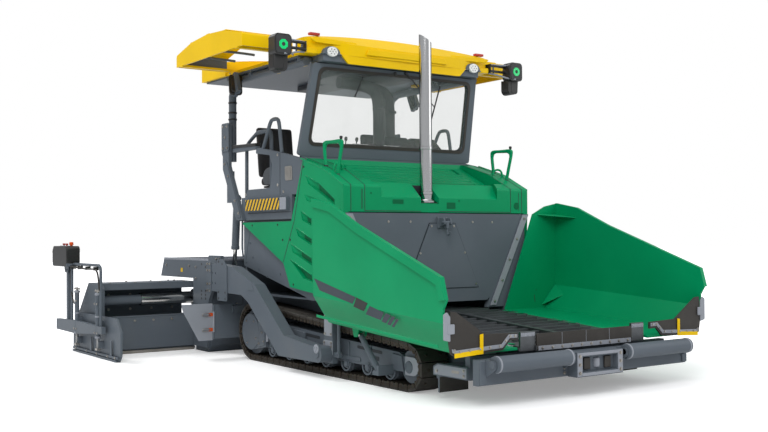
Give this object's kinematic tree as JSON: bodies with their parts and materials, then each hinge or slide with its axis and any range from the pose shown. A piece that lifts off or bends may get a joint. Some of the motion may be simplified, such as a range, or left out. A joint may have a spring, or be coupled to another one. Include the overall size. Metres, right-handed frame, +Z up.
{
  "type": "tracked asphalt paver with telescoping screed",
  "caption": "Tracked asphalt paver: front hopper with folding wings, push rollers, covered operator platform, augers and a towed screed that telescopes to both sides.",
  "frame": {"origin": "on the ground under the middle of the machine's overall length and width", "axes": "+Z up, +X to the machine's left, +Y to its rear; it drives towards -Y"},
  "size_m": [5.41, 6.9479, 3.6421],
  "materials": {
    "green_paint": "gloss",
    "yellow_paint": "gloss",
    "grey_paint": "satin",
    "light_grey_paint": "satin",
    "dark_paint": "satin",
    "wear_steel": "satin",
    "chrome_rod": "polished",
    "track_rubber": "matte",
    "black_rubber": "matte",
    "black_plastic": "matte",
    "seat_cover": "matte",
    "screen_glass": "clear",
    "cast_iron": "rough"
  },
  "bodies": {
    "chassis": {"main_frame": "grey_paint", "track_frames": "grey_paint", "tilt_feet": "grey_paint", "track_left": "track_rubber", "track_right": "track_rubber", "hopper_floor": "wear_steel", "hopper_rear_wall": "grey_paint", "tractor_body": "grey_paint", "engine_block": "cast_iron", "hood": "green_paint", "side_panels": "green_paint", "platform": "grey_paint", "platform_sides": "grey_paint", "seats": "seat_cover", "console": "black_plastic", "roof_posts": "grey_paint", "windscreen_frame": "grey_paint", "windscreen_glass": "screen_glass", "roof": "yellow_paint", "roof_frame": "grey_paint", "lamp_masts": "black_plastic", "exhaust_pipe": "grey_paint", "tow_guides": "grey_paint", "auger_carrier": "grey_paint"},
    "push_bar": {"push_bar": "grey_paint"},
    "front_apron": {"front_apron": "black_rubber"},
    "screed": {"tow_arms": "grey_paint", "screed_body": "grey_paint", "screed_deck": "grey_paint"},
    "lift_barrels": {"lift_barrels": "grey_paint"},
    "lift_rods": {"lift_rods": "chrome_rod"},
    "wing_left": {"wing_left": "green_paint", "wing_flap_left": "black_rubber"},
    "wing_barrel_left": {"wing_barrel_left": "grey_paint"},
    "wing_rod_left": {"wing_rod_left": "chrome_rod"},
    "awning_left": {"awning_left": "yellow_paint"},
    "push_roller_left": {"push_roller_left": "grey_paint"},
    "auger_left": {"auger_left": "wear_steel"},
    "tunnel_plate_left": {"tunnel_plate_left": "light_grey_paint"},
    "extension_left": {"extension_left": "grey_paint", "end_gate_left": "grey_paint"},
    "tube_stage_left": {"tube_stage_left": "chrome_rod"},
    "wing_right": {"wing_right": "green_paint", "wing_flap_right": "black_rubber"},
    "wing_barrel_right": {"wing_barrel_right": "grey_paint"},
    "wing_rod_right": {"wing_rod_right": "chrome_rod"},
    "awning_right": {"awning_right": "yellow_paint"},
    "push_roller_right": {"push_roller_right": "grey_paint"},
    "auger_right": {"auger_right": "wear_steel"},
    "tunnel_plate_right": {"tunnel_plate_right": "light_grey_paint"},
    "extension_right": {"extension_right": "grey_paint", "end_gate_right": "grey_paint"},
    "tube_stage_right": {"tube_stage_right": "chrome_rod"}
  },
  "joints": [
    {"name": "wing_tilt_left", "type": "hinge", "parent": "chassis", "child": "wing_left", "pos_m": [0.8, -1.206, 0.588], "axis": [0, -0.9978, -0.0667], "range_deg": [0, 50]},
    {"name": "wing_barrel_swing_left", "type": "hinge", "parent": "chassis", "child": "wing_barrel_left", "pos_m": [1.35, -1.946, 0.18], "axis": [0.564, -0.5694, -0.5981], "range_deg": [0, 55.03]},
    {"name": "wing_rod_slide_left", "type": "slide", "parent": "wing_barrel_left", "child": "wing_rod_left", "axis": [-0.0441, 0.7281, 0.684], "range_m": [0, 0.3546]},
    {"name": "awning_slide_left", "type": "slide", "parent": "chassis", "child": "awning_left", "axis": [-1, 0, 0], "range_m": [0, 0.62]},
    {"name": "push_roller_spin_left", "type": "hinge", "parent": "push_bar", "child": "push_roller_left", "pos_m": [0.78, -3.406, 0.36], "axis": [1, 0, 0], "continuous": true},
    {"name": "auger_spin_left", "type": "hinge", "parent": "chassis", "child": "auger_left", "pos_m": [0.7, 1.484, 0.42], "axis": [1, 0, 0], "continuous": true},
    {"name": "tunnel_plate_swing_left", "type": "hinge", "parent": "chassis", "child": "tunnel_plate_left", "pos_m": [1.492, 1.238, 0.4], "axis": [0, 0, -1], "range_deg": [0, 90]},
    {"name": "extension_slide_left", "type": "slide", "parent": "screed", "child": "extension_left", "axis": [-1, 0, 0], "range_m": [0, 1.19]},
    {"name": "tube_stage_slide_left", "type": "slide", "parent": "screed", "child": "tube_stage_left", "axis": [-1, 0, 0], "range_m": [0, 0.714]},
    {"name": "wing_tilt_right", "type": "hinge", "parent": "chassis", "child": "wing_right", "pos_m": [-0.8, -1.206, 0.588], "axis": [0, 0.9978, 0.0667], "range_deg": [0, 50]},
    {"name": "wing_barrel_swing_right", "type": "hinge", "parent": "chassis", "child": "wing_barrel_right", "pos_m": [-1.35, -1.946, 0.18], "axis": [0.564, 0.5694, 0.5981], "range_deg": [0, 55.03]},
    {"name": "wing_rod_slide_right", "type": "slide", "parent": "wing_barrel_right", "child": "wing_rod_right", "axis": [0.0441, 0.7281, 0.684], "range_m": [0, 0.3546]},
    {"name": "awning_slide_right", "type": "slide", "parent": "chassis", "child": "awning_right", "axis": [1, 0, 0], "range_m": [0, 0.62]},
    {"name": "push_roller_spin_right", "type": "hinge", "parent": "push_bar", "child": "push_roller_right", "pos_m": [-0.78, -3.406, 0.36], "axis": [1, 0, 0], "continuous": true},
    {"name": "auger_spin_right", "type": "hinge", "parent": "chassis", "child": "auger_right", "pos_m": [-0.7, 1.484, 0.42], "axis": [1, 0, 0], "continuous": true},
    {"name": "tunnel_plate_swing_right", "type": "hinge", "parent": "chassis", "child": "tunnel_plate_right", "pos_m": [-1.492, 1.238, 0.4], "axis": [0, 0, 1], "range_deg": [0, 90]},
    {"name": "extension_slide_right", "type": "slide", "parent": "screed", "child": "extension_right", "axis": [1, 0, 0], "range_m": [0, 1.19]},
    {"name": "tube_stage_slide_right", "type": "slide", "parent": "screed", "child": "tube_stage_right", "axis": [1, 0, 0], "range_m": [0, 0.714]},
    {"name": "push_bar_swivel", "type": "hinge", "parent": "chassis", "child": "push_bar", "pos_m": [0, -3.186, 0.285], "axis": [0, 0, 1], "range_deg": [-3, 3]},
    {"name": "front_apron_fold", "type": "hinge", "parent": "chassis", "child": "front_apron", "pos_m": [0, -3.248, 0.435], "axis": [1, 0, 0], "range_deg": [0, 80]},
    {"name": "screed_lift", "type": "hinge", "parent": "chassis", "child": "screed", "pos_m": [0, -1.041, 0.245], "axis": [1, 0, 0], "range_deg": [0, 6.5]},
    {"name": "lift_barrel_swing", "type": "hinge", "parent": "chassis", "child": "lift_barrels", "pos_m": [0, 1.374, 1.88], "axis": [1, 0, 0], "range_deg": [-5.57, 0]},
    {"name": "lift_rod_slide", "type": "slide", "parent": "lift_barrels", "child": "lift_rods", "axis": [0, 0.0933, -0.9956], "range_m": [-0.28344, 0]}
  ],
  "couplings": [
    {"joint": "wing_barrel_swing_left", "follows": "wing_tilt_left", "ratio": 1.1005},
    {"joint": "wing_rod_slide_left", "follows": "wing_tilt_left", "m_per_rad": 0.40634},
    {"joint": "tube_stage_slide_left", "follows": "extension_slide_left", "ratio": 0.6},
    {"joint": "wing_barrel_swing_right", "follows": "wing_tilt_right", "ratio": 1.1005},
    {"joint": "wing_rod_slide_right", "follows": "wing_tilt_right", "m_per_rad": 0.40634},
    {"joint": "tube_stage_slide_right", "follows": "extension_slide_right", "ratio": 0.6},
    {"joint": "lift_barrel_swing", "follows": "screed_lift", "ratio": -0.85653},
    {"joint": "lift_rod_slide", "follows": "screed_lift", "m_per_rad": -2.4984}
  ]
}
